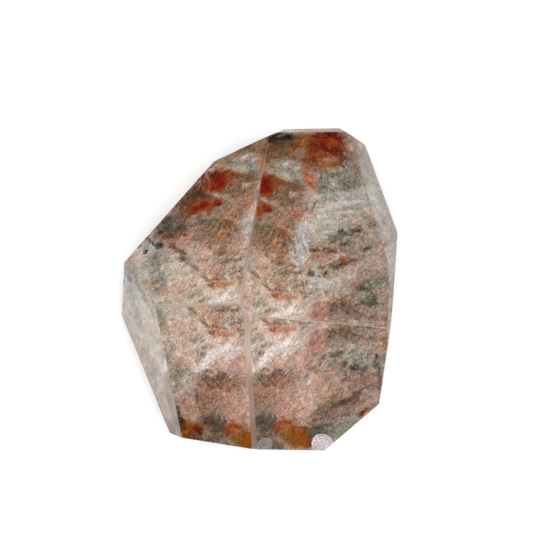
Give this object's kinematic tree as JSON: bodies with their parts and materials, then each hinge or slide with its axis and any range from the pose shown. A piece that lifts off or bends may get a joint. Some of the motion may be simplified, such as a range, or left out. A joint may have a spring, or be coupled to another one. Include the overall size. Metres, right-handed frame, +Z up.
{
  "type": "garden quartz",
  "caption": "Clear polished freeform quartz crystal with ground facets, lying flat, with a bed of red, salmon and green mineral inclusions inside.",
  "frame": {"origin": "centre of the stone's bounding box at its flat base", "axes": "+Z up from the base, +Y towards the stone's narrower top end in the picture (its longest extent), +X to the picture's right"},
  "size_m": [0.0348, 0.0402, 0.0253],
  "materials": {
    "clear_quartz": "polished, clear",
    "garden_minerals": "dull, granular"
  },
  "bodies": {
    "root": {"quartz_upper": "clear_quartz", "quartz_lower": "clear_quartz", "inclusion_bed": "garden_minerals"}
  },
  "joints": []
}
